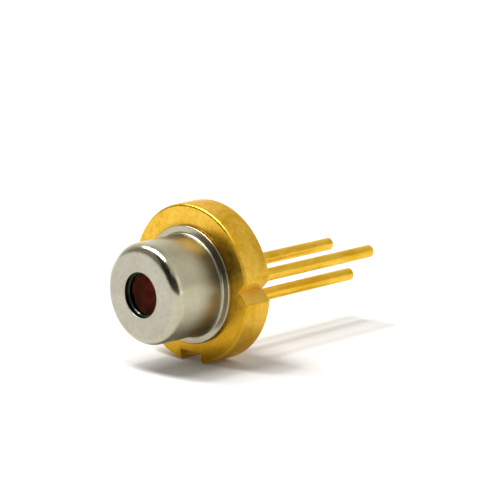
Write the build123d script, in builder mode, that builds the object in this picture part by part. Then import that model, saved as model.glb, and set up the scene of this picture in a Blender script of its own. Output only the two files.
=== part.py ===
from build123d import *
import math
import os

# Laser diode in a 5.6 mm metal can. Sizes are in millimetres and degrees.
# The origin is the centre of the stem's front face, on the optical axis. The beam leaves along -Y,
# the leads run along +Y, and the part stands on the rim of its stem with the axis level.

# Stem: a cold-headed disc with two V notches at its sides and a slot at the bottom
stem_diameter = 5.6
stem_thickness = 1.15
stem_front_round = 0.1
stem_rear_bevel = 0.06
slot_width = 1.0
slot_depth = 0.4
vee_depth = 0.4
vee_angle = 90

# Leads: round wire, two of them through the stem in glass and one on its back
lead_diameter = 0.45
lead_circle = 2.0
lead_length = 7.0
lead_tip_bevel = 0.06
laser_post_length = 0.95
monitor_post_length = 0.4
bond_flat_depth = 0.07
bond_flat_length = 0.5
foot_bevel = 0.02

# Glass beads, dished at both ends between the hole and the lead
bead_diameter = 0.9
bead_edge_recess = 0.02
bead_meniscus = 0.06

# Braze round the foot of the common lead
foot_braze_hollow = 0.34
foot_braze_width = 0.18
foot_braze_height = 0.15

# Cap: drawn from sheet, with a weld flange at its foot and a round hole in its top
cap_diameter = 3.55
cap_height = 2.3
cap_wall = 0.15
cap_top_round = 0.38
flange_width = 0.3
flange_bevel = 0.03
flange_root_round = 0.1
mouth_bevel = 0.1
weld_sink = 0.01
aperture_lip_bevel = 0.02

# Window, held under the cap's top by solder glass that shows as a thin ring in the hole
window_play = 0.015
window_thickness = 0.25
window_chamfer = 0.03
window_film = 0.05
window_land = 0.46
window_bead_lip = 0.045
window_bead_width = 0.13
window_bead_drop = 0.13

# Heat sink block, brazed on the stem above the optical axis
facet_distance = 1.27
block_width = 1.1
block_back_gap = 0.275
block_edge_round = 0.04
block_braze_film = 0.02
block_braze_fillet = 0.04

# Submount tile and laser chip, soldered on the block's lower face
submount_width = 0.75
submount_length = 0.9
submount_thickness = 0.2
submount_film = 0.02
chip_width = 0.3
chip_length = 0.6
chip_thickness = 0.1
chip_film = 0.01
chip_overhang = 0.01

# Photodiode, on a slanted seat so that it throws no light back into the laser
photodiode_size = 0.45
photodiode_thickness = 0.2
photodiode_film = 0.02
photodiode_film_margin = 0.025
seat_size = 0.56
seat_gap = 0.03
seat_depth = 0.09
seat_tilt = 8

# Gold bond wires, each with a ball at its first end and a flattened foot at its second
wire_diameter = 0.03
ball_diameter = 0.08
ball_height = 0.02
foot_length = 0.1
foot_width = 0.06
foot_height = 0.012
bend_share = 0.3
laser_loop_rise = 0.26
submount_loop_rise = 0.15
monitor_loop_margin = 0.1

stem_radius = stem_diameter / 2
lead_radius = lead_diameter / 2
lead_offset = lead_circle / 2
bead_radius = bead_diameter / 2
cap_radius = cap_diameter / 2
flange_radius = cap_radius + flange_width
wire_radius = wire_diameter / 2
ball_radius = ball_diameter / 2

# Across the beam: the window lies on the flat of the cap's underside, on a ring of solder glass
# round the hole, which comes out 1.58 mm wide, and the block stands inside the cap's wall
window_radius = cap_radius - cap_top_round - window_play - window_bead_width
aperture_radius = window_radius - window_land
block_back_radius = cap_radius - cap_wall - block_back_gap

# Along the beam: distances in front of the stem's front face
cap_underside = cap_height - cap_wall
window_front = cap_underside - window_film
submount_front = facet_distance - chip_overhang
block_height = submount_front

# Above the axis: the laser's junction is on the axis, and the rest is stacked on it
submount_face = chip_film
block_face = submount_face + submount_thickness + submount_film
seat_middle = block_face - block_braze_fillet - seat_gap - seat_size / 2

front_face = Plane.XZ
side_view = Plane.XY

laser_lead_place = (-lead_offset, 0)
monitor_lead_place = (lead_offset, 0)
common_lead_place = (0, -lead_offset)


# A half section beside an axis that runs along Y through (x, z): local x is the radius
def lead_section(place):
    x, z = place
    return Plane(origin=(x, 0, z), x_dir=(1, 0, 0), z_dir=(0, 0, 1))


def lead_axis(place):
    x, z = place
    return Axis((x, 0, z), (0, 1, 0))


# The seat of the photodiode: its floor leans, and its middle lies seat_depth below the face
seat_floor = Plane(
    origin=(0, seat_depth, seat_middle),
    x_dir=(1, 0, 0),
    z_dir=Vector(0, -1, 0).rotate(Axis.X, seat_tilt),
)


# Stem
with BuildPart() as stem:
    with BuildSketch(front_face):
        Circle(stem_radius)
    extrude(amount=-stem_thickness)
    fillet(stem.edges().sort_by(Axis.Y)[0], stem_front_round)
    chamfer(stem.edges().sort_by(Axis.Y)[-1], stem_rear_bevel)
    with BuildSketch(front_face):
        with Locations((0, -stem_radius)):
            Rectangle(slot_width, 2 * slot_depth)
        vee_rise = vee_depth + stem_radius - stem_radius * math.cos(math.radians(vee_angle / 2))
        vee_half_width = vee_rise * math.tan(math.radians(vee_angle / 2))
        for side in (-1, 1):
            apex = side * (stem_radius - vee_depth)
            mouth = apex + side * vee_rise
            with BuildLine():
                Polyline(
                    (apex, 0), (mouth, vee_half_width), (mouth, -vee_half_width), close=True
                )
            make_face()
    extrude(amount=-stem_thickness, mode=Mode.SUBTRACT)
    with BuildSketch(front_face):
        with Locations(laser_lead_place, monitor_lead_place):
            Circle(bead_radius)
    extrude(amount=-stem_thickness, mode=Mode.SUBTRACT)
    # The weld has pressed the foot of the cap a little way into the face
    with BuildSketch(front_face):
        Circle(flange_radius)
        Circle(cap_radius - cap_wall + mouth_bevel - weld_sink, mode=Mode.SUBTRACT)
    extrude(amount=-weld_sink, mode=Mode.SUBTRACT)
    with BuildSketch(seat_floor):
        Rectangle(seat_size, seat_size)
    extrude(amount=seat_size, mode=Mode.SUBTRACT)


# Half the section of a lead from end to end, and the bevel at its first end
def lead_outline(start, end, start_bevel):
    Polyline(
        (0, start),
        (lead_radius - start_bevel, start),
        (lead_radius, start + start_bevel),
        (lead_radius, end - lead_tip_bevel),
        (lead_radius - lead_tip_bevel, end),
        (0, end),
        close=True,
    )


lead_end = stem_thickness + lead_length

# Laser lead: the flat that the laser's wire is bonded to faces down, as the chip does
with BuildPart() as laser_lead:
    with BuildSketch(lead_section(laser_lead_place)):
        with BuildLine():
            lead_outline(-laser_post_length, lead_end, lead_tip_bevel)
        make_face()
    revolve(axis=lead_axis(laser_lead_place))
    with BuildSketch(front_face.offset(laser_post_length - bond_flat_length)):
        with Locations((-lead_offset, -lead_radius)):
            Rectangle(lead_diameter, 2 * bond_flat_depth)
    extrude(amount=bond_flat_length, mode=Mode.SUBTRACT)

# Monitor lead: its wire is bonded to the end of the post
with BuildPart() as monitor_lead:
    with BuildSketch(lead_section(monitor_lead_place)):
        with BuildLine():
            lead_outline(-monitor_post_length, lead_end, lead_tip_bevel)
        make_face()
    revolve(axis=lead_axis(monitor_lead_place))

# Common lead: it stands on the back of the stem, in a fillet of braze
with BuildPart() as common_lead:
    with BuildSketch(lead_section(common_lead_place)):
        with BuildLine():
            lead_outline(stem_thickness, lead_end, foot_bevel)
        make_face()
    revolve(axis=lead_axis(common_lead_place))

with BuildPart() as common_lead_braze:
    with BuildSketch(lead_section(common_lead_place)):
        with BuildLine():
            corner = Vector(lead_radius, stem_thickness)
            reach = Vector(foot_braze_width, 0)
            climb = Vector(0, foot_braze_height)
            deepest = corner + (reach + climb) * foot_braze_hollow
            Polyline(
                corner + climb,
                corner + Vector(0, foot_bevel),
                corner - Vector(foot_bevel, 0),
                corner + reach,
            )
            ThreePointArc(corner + reach, deepest, corner + climb)
        make_face()
    revolve(axis=lead_axis(common_lead_place))


# Glass bead: it fills the hole round an insulated lead, and is dished at both ends
def glass_bead(place):
    front, rear = bead_edge_recess, stem_thickness - bead_edge_recess
    middle = (lead_radius + bead_radius) / 2
    with BuildPart() as bead:
        with BuildSketch(lead_section(place)):
            with BuildLine():
                Polyline(
                    (lead_radius, front),
                    (middle, front + bead_meniscus),
                    (bead_radius, front),
                    (bead_radius, rear),
                    (middle, rear - bead_meniscus),
                    (lead_radius, rear),
                    close=True,
                )
            make_face()
        revolve(axis=lead_axis(place))
    return bead


laser_lead_seal = glass_bead(laser_lead_place)
monitor_lead_seal = glass_bead(monitor_lead_place)

# Cap: one drawn wall, its half section turned about the optical axis
flange_top = weld_sink - cap_wall
with BuildPart() as cap:
    with BuildSketch(side_view):
        with BuildLine():
            FilletPolyline(
                (flange_radius, weld_sink - flange_bevel),
                (flange_radius, flange_top + flange_bevel),
                (flange_radius - flange_bevel, flange_top),
                (cap_radius, flange_top),
                (cap_radius, -cap_height),
                (aperture_radius + aperture_lip_bevel, -cap_height),
                (aperture_radius, -cap_height + aperture_lip_bevel),
                (aperture_radius, -cap_underside),
                (cap_radius - cap_wall, -cap_underside),
                (cap_radius - cap_wall, weld_sink - mouth_bevel),
                (cap_radius - cap_wall + mouth_bevel, weld_sink),
                (flange_radius - flange_bevel, weld_sink),
                radius=[
                    0,
                    0,
                    0,
                    flange_root_round,
                    cap_top_round,
                    0,
                    0,
                    0,
                    cap_top_round - cap_wall,
                    0,
                    0,
                    0,
                ],
                close=True,
            )
        make_face()
    revolve(axis=Axis.Y)

# Window
with BuildPart() as window:
    with BuildSketch(front_face.offset(window_front - window_thickness)):
        Circle(window_radius)
    extrude(amount=window_thickness)
    chamfer(window.edges().sort_by(Axis.Y)[-1], window_chamfer)

# Solder glass: a film on the window's front, a lip in the hole and a fillet up the window's side
with BuildPart() as window_seal:
    with BuildSketch(side_view):
        with BuildLine():
            film_edge = aperture_radius - window_bead_lip
            film_middle = (cap_underside + window_front) / 2
            Polyline(
                (film_edge, -cap_underside),
                (window_radius + window_bead_width, -cap_underside),
                (window_radius, -window_front + window_bead_drop),
                (window_radius, -window_front),
                (film_edge, -window_front),
                (film_edge - window_film / 3, -film_middle),
                close=True,
            )
        make_face()
    revolve(axis=Axis.Y)


# Outline of the block's foot: a slab with a round back, concentric with the cap
def block_outline(margin):
    Circle(block_back_radius + margin)
    with Locations((0, block_face - margin)):
        Rectangle(
            block_width + 2 * margin,
            block_back_radius,
            align=(Align.CENTER, Align.MIN),
            mode=Mode.INTERSECT,
        )


with BuildPart() as heat_sink_block:
    with BuildSketch(front_face.offset(block_braze_film)):
        block_outline(0)
    extrude(amount=block_height - block_braze_film)
    back_edges = heat_sink_block.edges().filter_by(Axis.Y).group_by(Axis.Z)[-1]
    fillet(back_edges, block_edge_round)

# Braze: a film under the block, with a sloping fillet round its foot
with BuildPart() as heat_sink_braze:
    with BuildSketch(front_face):
        block_outline(block_braze_fillet)
    extrude(amount=block_braze_film + block_braze_fillet, taper=45)
    add(heat_sink_block.part, mode=Mode.SUBTRACT)


# The tile's footprint on the block's lower face, and the chip's on the tile
def footprint(width, length, tip):
    with Locations((0, -tip)):
        Rectangle(width, length, align=(Align.CENTER, Align.MIN))


with BuildPart() as submount:
    with BuildSketch(Plane.XY.offset(submount_face)):
        footprint(submount_width, submount_length, submount_front)
    extrude(amount=submount_thickness)

with BuildPart() as submount_solder:
    with BuildSketch(Plane.XY.offset(submount_face + submount_thickness)):
        footprint(submount_width, submount_length, submount_front)
    extrude(amount=submount_film)

# Laser chip: its junction, on the side of the tile, lies on the optical axis
with BuildPart() as laser_chip:
    with BuildSketch(Plane.XY):
        footprint(chip_width, chip_length, facet_distance)
    extrude(amount=-chip_thickness)

with BuildPart() as laser_chip_solder:
    with BuildSketch(Plane.XY):
        footprint(chip_width, chip_length - chip_overhang, submount_front)
    extrude(amount=chip_film)

# Photodiode and the conductive epoxy under it
with BuildPart() as photodiode_epoxy:
    with BuildSketch(seat_floor):
        RectangleRounded(
            photodiode_size + 2 * photodiode_film_margin,
            photodiode_size + 2 * photodiode_film_margin,
            photodiode_film_margin * 2,
        )
    extrude(amount=photodiode_film)

with BuildPart() as photodiode:
    with BuildSketch(seat_floor.offset(photodiode_film)):
        Rectangle(photodiode_size, photodiode_size)
    extrude(amount=photodiode_thickness)


# Where a wire is bonded: the origin is on the metal, and z leaves it
def pad(origin, away):
    return Plane(origin=origin, x_dir=(1, 0, 0), z_dir=away)


# A bond wire rises from its ball, bends over, comes down beside its foot and runs into it.
# rise and landing_rise are heights over the first and second pad, and landing_share is where
# the wire starts to come down, as a share of the span. Each bend is two half turns.
def bond_wire(first_pad, second_pad, rise, landing_rise, landing_share):
    start = first_pad.origin + first_pad.z_dir * (ball_height / 2)
    top = first_pad.origin + first_pad.z_dir * rise
    foot = second_pad.origin + second_pad.z_dir * (wire_radius + foot_height / 3)
    span = (foot - top) - second_pad.z_dir * (foot - top).dot(second_pad.z_dir)
    forward = span.normalized()
    shoulder = foot - span * landing_share + second_pad.z_dir * landing_rise
    end = foot + forward * (foot_length * 0.4)
    turns = [start, top, shoulder, foot, end]
    path = [start]
    for before, corner, after in zip(turns, turns[1:], turns[2:]):
        cut = min((corner - before).length, (after - corner).length) * bend_share
        path.append(corner + (before - corner).normalized() * cut)
        path.append(corner + (after - corner).normalized() * cut)
    path.append(end)
    with BuildPart() as wire:
        with BuildLine() as loop:
            Polyline(*path)
        with BuildSketch(Plane(origin=start, z_dir=top - start)):
            Circle(wire_radius)
        sweep(path=loop.wire(), transition=Transition.RIGHT)
        # The ball is a drop that the bonding tool has pressed flat
        ball_side = Plane(
            origin=first_pad.origin, x_dir=first_pad.x_dir, z_dir=first_pad.y_dir * -1
        )
        with BuildSketch(ball_side):
            with BuildLine():
                Polyline(
                    (0, 0),
                    (ball_radius, 0),
                    (ball_radius, ball_height / 2),
                    (ball_radius - ball_height / 2, ball_height),
                    (0, ball_height),
                    close=True,
                )
            make_face()
        revolve(axis=Axis(first_pad.origin, first_pad.z_dir))
        # The foot is where the tool has mashed the wire's end against the pad
        foot_plane = Plane(origin=second_pad.origin, x_dir=forward, z_dir=second_pad.z_dir)
        with BuildSketch(foot_plane):
            Ellipse(foot_length / 2, foot_width / 2)
        extrude(amount=foot_height)
    return wire


down = (0, 0, -1)
out = (0, -1, 0)

# Laser wire: from the middle of the chip's lower face to the flat on the laser lead's post
chip_middle = facet_distance - chip_length / 2
flat_middle = laser_post_length - bond_flat_length / 2
flat_level = lead_radius - bond_flat_depth
laser_wire = bond_wire(
    pad((0, -chip_middle, -chip_thickness), down),
    pad((-lead_offset + lead_radius / 3, -flat_middle, -flat_level), down),
    rise=laser_loop_rise,
    landing_rise=laser_loop_rise / 2,
    landing_share=0.22,
)

# Submount wire: from the tile's metal beside the chip, over the tile's rear edge, to the block
bond_line = (chip_width + submount_width) / 4
submount_rear = submount_front - submount_length
submount_wire = bond_wire(
    pad((bond_line, -submount_rear - submount_loop_rise, submount_face), down),
    pad((bond_line, -(submount_rear + block_braze_film) / 2, block_face), down),
    rise=submount_loop_rise,
    landing_rise=submount_loop_rise * 0.4 + block_face - submount_face,
    landing_share=0.37,
)

# Monitor wire: from a corner of the photodiode to the end of the monitor lead's post
photodiode_face = seat_floor.offset(photodiode_film + photodiode_thickness)
photodiode_corner = photodiode_face.from_local_coords(
    (photodiode_size * 0.3, -photodiode_size * 0.3, 0)
)
monitor_wire = bond_wire(
    pad(photodiode_corner, photodiode_face.z_dir),
    pad((lead_offset - lead_radius / 3, -monitor_post_length, 0), out),
    rise=monitor_post_length + monitor_loop_margin,
    landing_rise=monitor_loop_margin + foot_length / 2,
    landing_share=0.22,
)

# Each piece goes to its own file, under its own name
pieces = {
    "stem": stem,
    "laser_lead": laser_lead,
    "monitor_lead": monitor_lead,
    "common_lead": common_lead,
    "laser_lead_seal": laser_lead_seal,
    "monitor_lead_seal": monitor_lead_seal,
    "common_lead_braze": common_lead_braze,
    "cap": cap,
    "window": window,
    "window_seal": window_seal,
    "heat_sink_block": heat_sink_block,
    "heat_sink_braze": heat_sink_braze,
    "submount": submount,
    "submount_solder": submount_solder,
    "laser_chip": laser_chip,
    "laser_chip_solder": laser_chip_solder,
    "photodiode": photodiode,
    "photodiode_epoxy": photodiode_epoxy,
    "laser_wire": laser_wire,
    "submount_wire": submount_wire,
    "monitor_wire": monitor_wire,
}

os.makedirs("parts", exist_ok=True)
for name, piece in pieces.items():
    piece.part.label = name
    export_step(piece.part, f"parts/{name}.step")
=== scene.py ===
import math

import bmesh
import bpy
from mathutils import Matrix, Vector


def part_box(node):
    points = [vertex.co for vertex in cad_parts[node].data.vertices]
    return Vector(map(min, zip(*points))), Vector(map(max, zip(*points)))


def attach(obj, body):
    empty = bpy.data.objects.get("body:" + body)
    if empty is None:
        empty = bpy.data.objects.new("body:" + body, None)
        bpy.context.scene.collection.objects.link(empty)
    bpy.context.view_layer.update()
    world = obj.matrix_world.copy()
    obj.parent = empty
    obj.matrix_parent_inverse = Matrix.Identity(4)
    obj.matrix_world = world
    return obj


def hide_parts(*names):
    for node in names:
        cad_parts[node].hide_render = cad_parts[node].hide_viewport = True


# A laser diode in its 5.6 mm can, dressed in the order in which such a diode is put together.
# Every mesh is shaped in millimetres, with the origin at the middle of the stem's front face, the
# beam along -Y and the leads along +Y, and is scaled to metres when it is finished.
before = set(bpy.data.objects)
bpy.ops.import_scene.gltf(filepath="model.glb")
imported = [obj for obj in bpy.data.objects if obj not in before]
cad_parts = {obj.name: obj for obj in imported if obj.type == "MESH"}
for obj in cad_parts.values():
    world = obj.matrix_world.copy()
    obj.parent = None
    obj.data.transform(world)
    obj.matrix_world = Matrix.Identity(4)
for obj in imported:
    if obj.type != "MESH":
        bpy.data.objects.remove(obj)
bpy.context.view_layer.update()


# Stem: a steel disc headed cold in a die, which rounds its front rim, and pierced for two V notches,
# a slot and the glass of two leads. The whole header is plated with satin gold after its leads are in.
stem_radius = 2.8
stem_thickness = 1.15
front_round = 0.1
rear_round = 0.06
flange_radius = 2.075
weld_sink = 0.01
vee_apex = 2.4
slot_top = -2.4
slot_half_width = 0.5
notch_round = 0.03
bead_radius = 0.45
bead_lip = 0.02
lead_offset = 1.0
plug_radius = 1.55
seat_size = 0.56
seat_lean = math.radians(8)


def half_section(corners, closed=False, segments=5):
    """A wire outline beside the axis. A corner is its radius, its y and the radius it is rounded to."""
    shape = bmesh.new()
    points = [shape.verts.new((radius, y, 0)) for radius, y, _ in corners]
    following = points[1:] + points[:1] if closed else points[1:]
    for point, after in zip(points, following):
        shape.edges.new((point, after))
    for point, (_, _, rounding) in zip(points, corners):
        if rounding:
            bmesh.ops.bevel(
                shape, geom=[point], affect="VERTICES", offset=rounding, offset_type="OFFSET",
                segments=segments, profile=0.5, material=-1,
            )
    return shape


def turn(shape, steps, x=0.0, z=0.0):
    """Spins an outline round the Y axis and moves the turned shape to its place."""
    bmesh.ops.spin(
        shape, geom=shape.verts[:] + shape.edges[:], cent=(0, 0, 0), axis=(0, 1, 0), dvec=(0, 0, 0),
        angle=2 * math.pi, steps=steps, use_merge=True, use_duplicate=False,
    )
    bmesh.ops.remove_doubles(shape, verts=shape.verts, dist=1e-5)
    bmesh.ops.recalc_face_normals(shape, faces=shape.faces)
    bmesh.ops.translate(shape, verts=shape.verts, vec=(x, 0, z))
    return shape


def join(shape, part):
    """Adds a second bmesh to the first."""
    spare = bpy.data.meshes.new("spare")
    part.to_mesh(spare)
    part.free()
    shape.from_mesh(spare)
    bpy.data.meshes.remove(spare)


def cut_notch(shape, middle, reach, walls, corners):
    """Cuts out what lies inside all the walls, each a point and a normal into the notch, and closes them."""

    def near():
        return [f for f in shape.faces if (f.calc_center_median() - Vector(middle)).length < reach]

    for point, normal in walls:
        faces = near()
        edges = {edge for face in faces for edge in face.edges}
        verts = {vert for face in faces for vert in face.verts}
        bmesh.ops.bisect_plane(
            shape, geom=[*faces, *edges, *verts], dist=1e-5, plane_co=point, plane_no=normal
        )
    lost = [
        face
        for face in near()
        if all((face.calc_center_median() - Vector(point)).dot(Vector(normal)) > 0 for point, normal in walls)
    ]
    bmesh.ops.delete(shape, geom=lost, context="FACES")
    for x, z in corners:
        ends = [
            min(shape.verts, key=lambda v: (v.co - Vector((x, y, z))).length)
            for y in (0, stem_thickness)
        ]
        shape.edges.new(ends)

    def on_wall(vert, point, normal):
        close = (vert.co - Vector(middle)).length < reach
        return close and abs((vert.co - Vector(point)).dot(Vector(normal))) < 1e-4

    for point, normal in walls:
        rim = [
            edge
            for edge in shape.edges
            if len(edge.link_faces) < 2 and all(on_wall(v, point, normal) for v in edge.verts)
        ]
        bmesh.ops.contextual_create(shape, geom=rim)
    for level in (0, stem_thickness):
        flat = [
            face
            for face in near()
            if all(abs(v.co.y - level) < 1e-5 for v in face.verts)
            and all(v.co.xz.length > flange_radius - 1e-4 for v in face.verts)
        ]
        bmesh.ops.dissolve_faces(shape, faces=flat, use_verts=False)
    spare = [vert for vert in shape.verts if len(vert.link_edges) == 2 and len(vert.link_faces) == 2]
    bmesh.ops.dissolve_verts(shape, verts=spare)
    sides = [
        face
        for face in shape.faces
        if any(all(on_wall(v, point, normal) for v in face.verts) for point, normal in walls)
    ]
    edges = list({edge for face in sides for edge in face.edges})
    bmesh.ops.bevel(
        shape, geom=edges, affect="EDGES", offset=notch_round, offset_type="OFFSET",
        segments=2, profile=0.5, material=-1, clamp_overlap=False,
    )


def finished(shape, name, finish, slot, *nodes):
    """Scales a shape to metres and makes it a smooth piece that replaces its CAD nodes."""
    bmesh.ops.recalc_face_normals(shape, faces=shape.faces)
    bmesh.ops.scale(shape, vec=(0.001, 0.001, 0.001), verts=shape.verts)
    mesh = bpy.data.meshes.new(name)
    shape.to_mesh(mesh)
    shape.free()
    mesh.shade_smooth()
    mesh.set_sharp_from_angle(angle=math.radians(40))
    piece = bpy.data.objects.new(name, mesh)
    bpy.context.scene.collection.objects.link(piece)
    mesh.materials.append(finish.owner)
    weights = piece.modifiers.new("face weights", "WEIGHTED_NORMAL")
    weights.keep_sharp = True
    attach(piece, "root")
    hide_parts(*nodes)


class Value:
    """One output of a shader node, on which shader maths is written as plain expressions."""

    def __init__(self, finish, socket):
        self.finish = finish
        self.socket = socket

    def __add__(self, other):
        return self.finish.node("ShaderNodeMath", {"operation": "ADD"}, {0: self, 1: other})

    def __sub__(self, other):
        return self.finish.node("ShaderNodeMath", {"operation": "SUBTRACT"}, {0: self, 1: other})

    def __rsub__(self, other):
        return self.finish.node("ShaderNodeMath", {"operation": "SUBTRACT"}, {0: other, 1: self})

    def __mul__(self, other):
        return self.finish.node("ShaderNodeMath", {"operation": "MULTIPLY"}, {0: self, 1: other})

    __radd__ = __add__
    __rmul__ = __mul__


class Finish:
    """The nodes of a material or of the world, each added by one method."""

    def __init__(self, owner):
        owner.use_nodes = True
        self.owner = owner
        self.tree = owner.node_tree

    def feed(self, socket, value):
        if isinstance(value, Value):
            self.tree.links.new(value.socket, socket)
        else:
            socket.default_value = value

    def node(self, kind, settings, sockets, output=0):
        node = self.tree.nodes.new(kind)
        for setting, value in settings.items():
            setattr(node, setting, value)
        for socket, value in sockets.items():
            self.feed(node.inputs[socket], value)
        return Value(self, node.outputs[output])

    def surface(self, sockets):
        for socket, value in sockets.items():
            self.feed(self.tree.nodes["Principled BSDF"].inputs[socket], value)

    def millimetres(self, stretch=(1, 1, 1), shift=(0, 0, 0)):
        here = self.node("ShaderNodeTexCoord", {}, {}, "Object")
        scale = [1000 * share for share in stretch]
        return self.node("ShaderNodeMapping", {}, {"Vector": here, "Location": shift, "Scale": scale})

    def noise(self, per_mm, detail=2.0, roughness=0.5, stretch=(1, 1, 1), shift=(0, 0, 0)):
        return self.node(
            "ShaderNodeTexNoise",
            {},
            {
                "Vector": self.millimetres(stretch, shift),
                "Scale": per_mm,
                "Detail": detail,
                "Roughness": roughness,
            },
        )

    def ramp(self, value, low, high):
        """0 below low, 1 above high, and a soft step between them."""
        return self.node(
            "ShaderNodeMapRange", {"interpolation_type": "SMOOTHSTEP"}, {0: value, 1: low, 2: high}
        )

    def mix(self, first, second, share):
        return self.node("ShaderNodeMix", {"data_type": "RGBA"}, {0: share, 6: first, 7: second}, 2)

    def from_axis(self, shift=(0, 0, 0)):
        """Distance in millimetres from a line along Y."""
        across = self.millimetres((1, 0, 1), shift)
        return self.node("ShaderNodeVectorMath", {"operation": "LENGTH"}, {0: across}, "Value")

    def bump(self, height, depth, strength=1.0):
        """depth is how many millimetres the surface rises where height is 1."""
        return self.node(
            "ShaderNodeBump", {}, {"Strength": strength, "Distance": depth / 1000, "Height": height}
        )


def gold_plating(name, deep, pale, rough, grain_depth, lines=(1, 1, 1), painted_shade_colour=None):
    """Satin gold: the colour drifts with the plating's thickness, over a fine matt grain. A shade colour,
    if given, is painted over a disc towards its lower right as painted shade; on that disc the notches
    are painted paler, against the light bounced between their walls, the upper edge is burnished, and a
    brown shade is painted next to the cap's flange."""
    gold = Finish(bpy.data.materials.new(name))
    drift = gold.noise(0.9, 3)
    patches = gold.noise(5.0, 3, 0.6, lines)
    grain = gold.noise(17.0, 4, 0.65, lines)
    fine = gold.noise(55.0, 2, 0.6, lines)
    tone = gold.ramp(drift * 0.35 + patches * 0.35 + grain * 0.3, 0.36, 0.64)
    colour = gold.mix(deep, pale, tone)
    if painted_shade_colour:
        toward_upper_left = gold.node(
            "ShaderNodeVectorMath",
            {"operation": "DOT_PRODUCT"},
            {0: gold.millimetres(), 1: (-0.4, 0.0, 0.92)},
            "Value",
        )
        # painted shade: the disc turns towards the shade colour further from its upper left, and the rim
        # keeps its colour
        painted_shade_share = 1 - gold.ramp(toward_upper_left, -3.8, 1.6)
        behind = gold.node("ShaderNodeSeparateXYZ", {}, {0: gold.millimetres()}, "Y")
        rim = gold.ramp(gold.from_axis() + 3 * behind, 2.70, 2.79)
        colour = gold.mix(colour, painted_shade_colour, painted_shade_share * (1 - 0.75 * rim))
        # painted shade: the gold darkens to brown next to the cap's flange, less on the rim
        painted_weld_shade = 1 - gold.ramp(gold.from_axis(), flange_radius + 0.02, flange_radius + 0.16)
        colour = gold.mix(colour, (0.40, 0.17, 0.01, 1), painted_weld_shade * (0.4 - 0.4 * rim))
        # painted light: the notches are painted paler, against the deep colour of light bounced between their
        # gold walls
        notch = (1 - gold.ramp(gold.from_axis(), 2.72, 2.79)) * gold.ramp(behind, 0.02, 0.10)
        notch = notch * (1 - gold.ramp(behind, stem_thickness - 0.08, stem_thickness - 0.01))
        colour = gold.mix(colour, (0.80, 0.53, 0.12, 1), 0.5 * notch)
        edge = gold.ramp(gold.from_axis(), 2.68, 2.72) * (1 - gold.ramp(behind, 0.06, 0.12))
        rough = rough + 0.09 * rim + edge * (0.16 - 0.26 * gold.ramp(toward_upper_left, 0.8, 1.4))
    gold.surface(
        {
            "Base Color": colour,
            "Metallic": 1.0,
            "Specular Tint": (0.98, 0.86, 0.62, 1),
            "Roughness": rough + 0.16 * (patches - 0.5) + 0.04 * (grain - 0.5),
            "Normal": gold.bump(grain * 0.7 + fine * 0.3 + patches * 0.8, grain_depth),
        }
    )
    return gold


stem_gold = gold_plating(
    "stem_gold", (0.64, 0.34, 0.010, 1), (0.84, 0.545, 0.085, 1), 0.29, 0.0015, painted_shade_colour=(0.50, 0.26, 0.008, 1)
)

stem = half_section(
    [
        (plug_radius, 0, 0),
        (1.715, 0, 0),
        (1.715, weld_sink, 0),
        (flange_radius, weld_sink, 0),
        (flange_radius, 0, 0),
        (stem_radius, 0, front_round),
        (stem_radius, stem_thickness, rear_round),
        (plug_radius, stem_thickness, 0),
    ],
    segments=4,
)
# 80 steps put none of the disc's faces' edges beside the mouth of a notch
turn(stem, 80)
for side in (-1, 1):
    cut_notch(
        stem,
        (side * 2.7, stem_thickness / 2, 0),
        1.1,
        [((side * vee_apex, 0, 0), (side, 0, 1)), ((side * vee_apex, 0, 0), (side, 0, -1))],
        [(side * vee_apex, 0)],
    )
cut_notch(
    stem,
    (0, stem_thickness / 2, -2.7),
    1.2,
    [
        ((-slot_half_width, 0, 0), (1, 0, 0)),
        ((slot_half_width, 0, 0), (-1, 0, 0)),
        ((0, 0, slot_top), (0, 0, -1)),
    ],
    [(-slot_half_width, slot_top), (slot_half_width, slot_top)],
)
for side in (-1, 1):
    hole = half_section(
        [
            (bead_radius + bead_lip, 0, 0),
            (bead_radius, bead_lip, 0),
            (bead_radius, stem_thickness - bead_lip, 0),
            (bead_radius + bead_lip, stem_thickness, 0),
        ]
    )
    join(stem, turn(hole, 64, x=side * lead_offset))
seat = bmesh.new()
bmesh.ops.create_cube(seat, size=seat_size)
bmesh.ops.translate(seat, verts=seat.verts, vec=(0, -seat_size / 2, 0))
bmesh.ops.rotate(seat, verts=seat.verts, cent=(0, 0, 0), matrix=Matrix.Rotation(seat_lean, 3, "X"))
bmesh.ops.translate(seat, verts=seat.verts, vec=(0, 0.09, -0.12))
bmesh.ops.bisect_plane(
    seat, geom=[*seat.faces, *seat.edges, *seat.verts], plane_co=(0, 0, 0), plane_no=(0, -1, 0),
    clear_outer=True,
)
join(stem, seat)
for level in (0, stem_thickness):
    open_rims = [
        edge
        for edge in stem.edges
        if len(edge.link_faces) == 1 and all(abs(v.co.y - level) < 1e-4 for v in edge.verts)
    ]
    bmesh.ops.triangle_fill(stem, edges=open_rims, use_beauty=True, normal=(0, 1, 0))
finished(stem, "stem_plated", stem_gold, "gold_plating", "stem")


# Beads: solder glass fused between the stem and the two insulated leads, dark green where it is
# thick. Surface tension dishes both of its ends before it sets.
bead_glass = Finish(bpy.data.materials.new("bead_glass"))
bead_cloud = bead_glass.noise(6.0, 3)
bead_glass.surface(
    {
        "Base Color": bead_glass.mix((0.012, 0.03, 0.022, 1), (0.03, 0.06, 0.045, 1), bead_cloud),
        "Roughness": 0.12 + 0.1 * bead_cloud,
        "Normal": bead_glass.bump(bead_cloud, 0.004),
    }
)
for name, side in (("laser_lead_seal", -1), ("monitor_lead_seal", 1)):
    bead = half_section(
        [
            (0.225, 0.02, 0),
            (0.3375, 0.08, 0.07),
            (bead_radius, 0.02, 0),
            (bead_radius, 1.13, 0),
            (0.3375, 1.07, 0.07),
            (0.225, 1.13, 0),
        ],
        closed=True,
    )
    turn(bead, 64, x=side * lead_offset)
    finished(bead, name + "_fused", bead_glass, "bead_glass", name)


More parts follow.
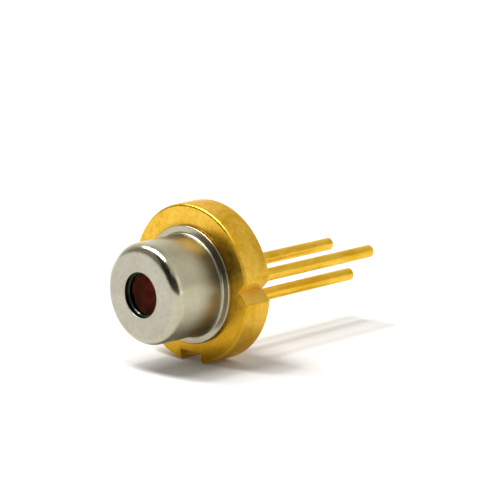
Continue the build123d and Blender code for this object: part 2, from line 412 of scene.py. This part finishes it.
# Leads: round wire of nickel-iron, cut to length and plated with the stem. Two pass through the
# glass, and the common one is brazed to the back. Drawing leaves faint lines along each.
lead_radius = 0.225
lead_end = 8.15
lead_gold = gold_plating(
    "lead_gold", (0.70, 0.40, 0.014, 1), (0.90, 0.575, 0.07, 1), 0.30, 0.003, (1, 0.16, 1)
)
leads = (
    ("laser_lead", -0.95, -lead_offset, 0.0),
    ("monitor_lead", -0.4, lead_offset, 0.0),
    ("common_lead", stem_thickness, 0.0, -lead_offset),
)
for name, start, x, z in leads:
    corners = [(0, start, 0), (lead_radius, start, 0.05 if start < 0 else 0.02)]
    if name == "laser_lead":
        corners += [(lead_radius, -0.4501, 0), (lead_radius, -0.45, 0)]
    corners += [(lead_radius, lead_end, 0.06), (0, lead_end, 0)]
    lead = turn(half_section(corners), 48)
    if name == "laser_lead":
        flat = [v for v in lead.verts if v.co.y < -0.45005 and v.co.z < -0.155]
        bmesh.ops.scale(lead, verts=flat, vec=(1, 1, 0))
        bmesh.ops.translate(lead, verts=flat, vec=(0, 0, -0.155))
    bmesh.ops.translate(lead, verts=lead.verts, vec=(x, 0, z))
    finished(lead, name + "_plated", lead_gold, "gold_plating", name)

braze_metal = gold_plating("braze_metal", (0.66, 0.36, 0.05, 1), (0.80, 0.50, 0.12, 1), 0.24, 0.002)
braze = half_section(
    [(lead_radius, 1.3, 0), (0.262, 1.187, 0.09), (0.405, 1.15, 0), (0.245, 1.15, 0), (0.225, 1.17, 0)],
    closed=True,
)
turn(braze, 64, z=-lead_offset)
finished(braze, "common_lead_braze_run", braze_metal, "silver_braze", "common_lead_braze")


# Heat sink: a copper block brazed on the stem over the axis, plated with the rest of the header.
# It is solid copper so that it draws the chip's heat into the stem.
block_copper = gold_plating("block_copper", (0.60, 0.25, 0.05, 1), (0.78, 0.40, 0.09, 1), 0.38, 0.004)


def dress(finish, *nodes):
    """Gives CAD nodes whose shape is right their finish."""
    for node in nodes:
        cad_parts[node].data.materials.clear()
        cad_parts[node].data.materials.append(finish.owner)


dress(block_copper, "heat_sink_block")
dress(braze_metal, "heat_sink_braze")


# Submount: a tile of aluminium nitride, soldered to the block with gold-tin. The laser chip, a bar
# of gallium arsenide, is soldered to the tile with its junction on the optical axis.
aluminium_nitride = Finish(bpy.data.materials.new("aluminium_nitride"))
tile_grain = aluminium_nitride.noise(30.0, 4, 0.6)
aluminium_nitride.surface(
    {
        "Base Color": aluminium_nitride.mix((0.42, 0.40, 0.36, 1), (0.60, 0.58, 0.52, 1), tile_grain),
        "Roughness": 0.45 + 0.2 * tile_grain,
        "Normal": aluminium_nitride.bump(tile_grain, 0.002),
    }
)
gold_tin = gold_plating("gold_tin_solder", (0.62, 0.46, 0.20, 1), (0.76, 0.60, 0.32, 1), 0.3, 0.002)
laser_crystal = Finish(bpy.data.materials.new("laser_crystal"))
cleaved = laser_crystal.noise(24.0, 3, 0.5, (1, 0.2, 1))
laser_crystal.surface(
    {
        "Base Color": laser_crystal.mix((0.10, 0.09, 0.09, 1), (0.17, 0.15, 0.14, 1), cleaved),
        "Metallic": 0.7,
        "Roughness": 0.16 + 0.12 * cleaved,
    }
)
dress(aluminium_nitride, "submount")
dress(gold_tin, "submount_solder", "laser_chip_solder")
dress(laser_crystal, "laser_chip")


# Monitor photodiode: a square of silicon, set in silver epoxy on its slanted seat, which throws
# what it reflects away from the laser.
silicon = Finish(bpy.data.materials.new("silicon"))
oxide = silicon.noise(4.0, 2)
silicon.surface(
    {
        "Base Color": silicon.mix((0.02, 0.025, 0.05, 1), (0.04, 0.05, 0.09, 1), oxide),
        "Metallic": 0.4,
        "Roughness": 0.1 + 0.08 * oxide,
    }
)
silver_epoxy = Finish(bpy.data.materials.new("silver_epoxy"))
flakes = silver_epoxy.noise(60.0, 3, 0.7)
silver_epoxy.surface(
    {
        "Base Color": silver_epoxy.mix((0.35, 0.34, 0.32, 1), (0.62, 0.61, 0.58, 1), flakes),
        "Metallic": 0.6,
        "Roughness": 0.4 + 0.25 * flakes,
        "Normal": silver_epoxy.bump(flakes, 0.003),
    }
)
dress(silicon, "photodiode")
dress(silver_epoxy, "photodiode_epoxy")


# Bond wires: gold, 30 micrometres thick, each welded with a ball at one end and a wedge at the other.
wire_gold = gold_plating("wire_gold", (0.80, 0.52, 0.12, 1), (0.90, 0.64, 0.20, 1), 0.22, 0.0005)
dress(wire_gold, "laser_wire", "submount_wire", "monitor_wire")


# Cap: drawn from steel strip in one piece with its weld flange, plated with nickel, and welded to
# the stem in dry gas. The drawing leaves a soft matt grain, and the tool a rounded top edge.
cap_radius = 1.775
cap_front = -2.3
cap_wall = 0.15
cap_round = 0.38
aperture_radius = 0.79
flange_top = weld_sink - cap_wall


def nickel_plating(name, grey, light):
    """Nickel over drawn steel: matt on the top face, burnished by the tool where it is bent, with painted
    shade darker and browner towards the weld beside the stem. Inside it is dark brown in the hole and
    dark red-brown near the fused glass, turning pale gold towards the stem, a painted reflection of
    the stem's gold."""
    nickel = Finish(bpy.data.materials.new(name))
    drift = nickel.noise(1.1, 3)
    patches = nickel.noise(6.0, 3, 0.6)
    grain = nickel.noise(20.0, 4, 0.7)
    drawn = nickel.noise(12.0, 3, 0.6, (1, 0.12, 1))
    tone = nickel.ramp(drift * 0.4 + patches * 0.4 + drawn * 0.2, 0.3, 0.7)
    along = nickel.node("ShaderNodeSeparateXYZ", {}, {0: nickel.millimetres()}, "Y")
    bend = 1 - nickel.ramp(along, cap_front + 0.3, cap_front + 0.42)
    top_face = 1 - nickel.ramp(along, cap_front + 0.005, cap_front + 0.05)
    side = nickel.mix((0.44, 0.41, 0.29, 1), (0.52, 0.495, 0.365, 1), tone)
    across = nickel.from_axis()
    flange = nickel.ramp(across, cap_radius + 0.01, cap_radius + 0.05)
    shell_inside = nickel.ramp(along, cap_front + 0.155, cap_front + 0.175) * (
        1 - nickel.ramp(across, cap_radius - 0.145, cap_radius - 0.13)
    )
    hole_wall = nickel.ramp(along, cap_front + 0.02, cap_front + 0.05) * (
        1 - nickel.ramp(across, aperture_radius + 0.005, aperture_radius + 0.02)
    )
    # Inside, the dark red-brown near the glass turns to pale gold towards the stem, a painted reflection of
    # the stem's gold.
    oxide = nickel.ramp(along, cap_front + 0.9, cap_front + 2.1)
    oxide = nickel.mix((0.10, 0.03, 0.012, 1), (1.0, 0.62, 0.16, 1), oxide)
    inside_with_painted_reflection = nickel.mix((0.16, 0.09, 0.06, 1), oxide, shell_inside)
    # painted shade: the barrel darkens and browns towards the weld beside the stem, less on the flange
    painted_weld_shade = nickel.ramp(along, cap_front + 0.9, cap_front + 1.9) * (0.85 - 0.6 * flange)
    side = nickel.mix(side, (0.26, 0.235, 0.165, 1), painted_weld_shade)
    outside = nickel.mix(side, nickel.mix(grey, light, tone), top_face)
    nickel.surface(
        {
            "Base Color": nickel.mix(outside, inside_with_painted_reflection, shell_inside + hole_wall),
            "Metallic": 1 - 0.8 * shell_inside,
            "Roughness": 0.31
            - 0.15 * bend
            + 0.14 * top_face
            - 0.07 * flange
            - 0.05 * shell_inside
            + 0.06 * (patches - 0.5)
            + 0.10 * (grain - 0.5),
            "Normal": nickel.bump(grain * 0.5 + patches * 1.2 + drawn * 0.3, 0.0012),
        }
    )
    return nickel


cap_nickel = nickel_plating("cap_nickel", (0.375, 0.355, 0.28, 1), (0.495, 0.475, 0.39, 1))
cap = half_section(
    [
        (flange_radius, weld_sink, 0.03),
        (flange_radius, flange_top, 0.035),
        (cap_radius, flange_top, 0.1),
        (cap_radius, cap_front, cap_round),
        (aperture_radius, cap_front, 0.02),
        (aperture_radius, cap_front + cap_wall, 0),
        (cap_radius - cap_wall, cap_front + cap_wall, cap_round - cap_wall),
        (cap_radius - cap_wall, weld_sink - 0.1, 0),
        (cap_radius - cap_wall + 0.1, weld_sink, 0),
    ],
    closed=True,
    segments=8,
)
turn(cap, 160)
finished(cap, "cap_drawn", cap_nickel, "nickel_plating", "cap")


# Window: a disc of glass whose coating throws back a little red, held under the cap's top by a ring
# of green solder glass that shows as a thin line inside the hole.
seal_glass = Finish(bpy.data.materials.new("seal_glass"))
seal_cloud = seal_glass.noise(8.0, 3)
seal_glass.surface(
    {
        "Base Color": seal_glass.mix((0.004, 0.028, 0.011, 1), (0.014, 0.058, 0.025, 1), seal_cloud),
        "Roughness": 0.08 + 0.1 * seal_cloud,
        "Specular IOR Level": 0.3,
    }
)
dress(seal_glass, "window_seal")
window_glass = Finish(bpy.data.materials.new("window_glass"))
smear = window_glass.noise(2.5, 2)
window_glass.surface(
    {
        "Base Color": window_glass.mix((0.74, 0.15, 0.025, 1), (0.84, 0.18, 0.035, 1), smear),
        "Metallic": 0.010 + 0.022 * window_glass.ramp(smear, 0.35, 0.65),
        "Specular Tint": (0.30, 0.08, 0.03, 1),
        "Roughness": 0.01 + 0.03 * smear,
        "Transmission Weight": 1.0,
        "IOR": 1.12,
        "Specular IOR Level": 0.02,
    }
)
dress(window_glass, "window")


# Studio: a white sweep under a long softbox that hangs in front and above, with a pale room round it
# and a dark side in front that puts dark bands in the metal. The floor shows white and keeps the shadow.
floor_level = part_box("stem")[0].z
floor_shape = bmesh.new()
bmesh.ops.create_grid(floor_shape, x_segments=1, y_segments=1, size=1.5)
bmesh.ops.translate(floor_shape, verts=floor_shape.verts, vec=(0, 0, floor_level))
floor_mesh = bpy.data.meshes.new("floor")
floor_shape.to_mesh(floor_mesh)
floor_shape.free()
floor = bpy.data.objects.new("floor", floor_mesh)
bpy.context.scene.collection.objects.link(floor)
paper = Finish(bpy.data.materials.new("white_paper"))
seen = paper.node("ShaderNodeLightPath", {}, {}, "Is Camera Ray")
mirrored = paper.node("ShaderNodeLightPath", {}, {}, "Is Glossy Ray")
through = paper.node("ShaderNodeLightPath", {}, {}, "Is Transmission Ray")
far = paper.node("ShaderNodeVectorMath", {"operation": "LENGTH"}, {0: paper.millimetres()}, "Value")
lifted = (seen + mirrored + through) * (0.03 + 0.97 * paper.ramp(far, 40, 300))
paper.surface(
    {
        "Base Color": (0.67, 0.67, 0.67, 1),
        "Roughness": 0.9,
        "Specular IOR Level": 0.0,
        "Emission Color": paper.mix((0, 0, 0, 1), (1, 1, 1, 1), lifted),
        "Emission Strength": 1.0,
    }
)
floor_mesh.materials.append(paper.owner)

room = Finish(bpy.data.worlds.new("room"))
bpy.context.scene.world = room.owner
direction = room.node("ShaderNodeTexCoord", {}, {}, "Generated")
height = room.node("ShaderNodeSeparateXYZ", {}, {0: direction}, "Z")


def towards(way, low, high):
    """1 in one direction of the room, and 0 away from it."""
    cosine = room.node(
        "ShaderNodeVectorMath", {"operation": "DOT_PRODUCT"}, {0: direction, 1: way}, "Value"
    )
    return room.ramp(cosine, low, high)


walls = 1.1 - 0.54 * room.ramp(height, 0.08, 0.18)
back_side = 0.35 * towards((-0.68, 0.70, 0.20), 0.5, 1.0)
left_side = 0.35 * towards((-0.90, 0.20, 0.38), 0.75, 0.97)
high_side = 0.3 * towards((0.55, 0.35, 0.76), 0.78, 0.97)
right_side = 0.5 * towards((0.98, 0.05, 0.20), 0.80, 0.97)
dim_side = towards((-0.60, -0.80, 0.0), 0.0, 0.7) * room.ramp(height, 0.04, 0.14)
dark_side = towards((0.53, -0.85, 0.0), 0.58, 0.70) * (1 - room.ramp(height, 0.52, 0.66))
dark_front = towards((0.12, -0.68, 0.72), 0.90, 0.945)
lit = walls * (1 - 0.45 * dim_side) + back_side + left_side + right_side + high_side
lit = lit * (1 - 0.9 * dark_side) * (1 - 0.9 * dark_front)
room.feed(room.tree.nodes["Background"].inputs["Color"], (1.0, 0.975, 0.915, 1))
room.feed(room.tree.nodes["Background"].inputs["Strength"], lit)


def soft_lamp(name, length, width, energy, way):
    """A soft lamp 300 mm away that faces the diode, its length from left to right."""
    data = bpy.data.lights.new(name, "AREA")
    data.shape = "RECTANGLE"
    data.size = length
    data.size_y = width
    data.energy = energy
    lamp = bpy.data.objects.new(name, data)
    facing = Vector(way).normalized()
    broad = (Vector((1, 0, 0)) - facing.x * facing).normalized()
    turned = Matrix((broad, facing.cross(broad), facing)).transposed()
    lamp.matrix_world = Matrix.Translation(0.3 * facing) @ turned.to_4x4()
    bpy.context.scene.collection.objects.link(lamp)


soft_lamp("softbox", 0.30, 0.085, 1.08, (-0.25, -0.27, 0.93))
soft_lamp("spot", 0.034, 0.034, 0.20, (-0.226, -0.191, 0.958))


# Camera: the photograph's place, solved against the drawing's sizes.
azimuth, elevation, roll = math.radians(44.94), math.radians(11.81), math.radians(-0.96)
back = Vector(
    (math.sin(azimuth) * math.cos(elevation), -math.cos(azimuth) * math.cos(elevation), math.sin(elevation))
)
level = Vector((math.cos(azimuth), math.sin(azimuth), 0))
upright = back.cross(level)
right = math.cos(roll) * level + math.sin(roll) * upright
above = math.cos(roll) * upright - math.sin(roll) * level
camera_data = bpy.data.cameras.new("camera")
camera_data.lens = 2479.2 * 36 / 500
camera_data.sensor_width = 36
camera_data.clip_start = 0.001
camera = bpy.data.objects.new("camera", camera_data)
camera.matrix_world = Matrix.Translation((0.06037, -0.05751, 0.01859)) @ Matrix(
    (right, above, back)
).transposed().to_4x4()
bpy.context.scene.collection.objects.link(camera)
bpy.context.scene.camera = camera
bpy.context.scene.view_settings.view_transform = "Standard"
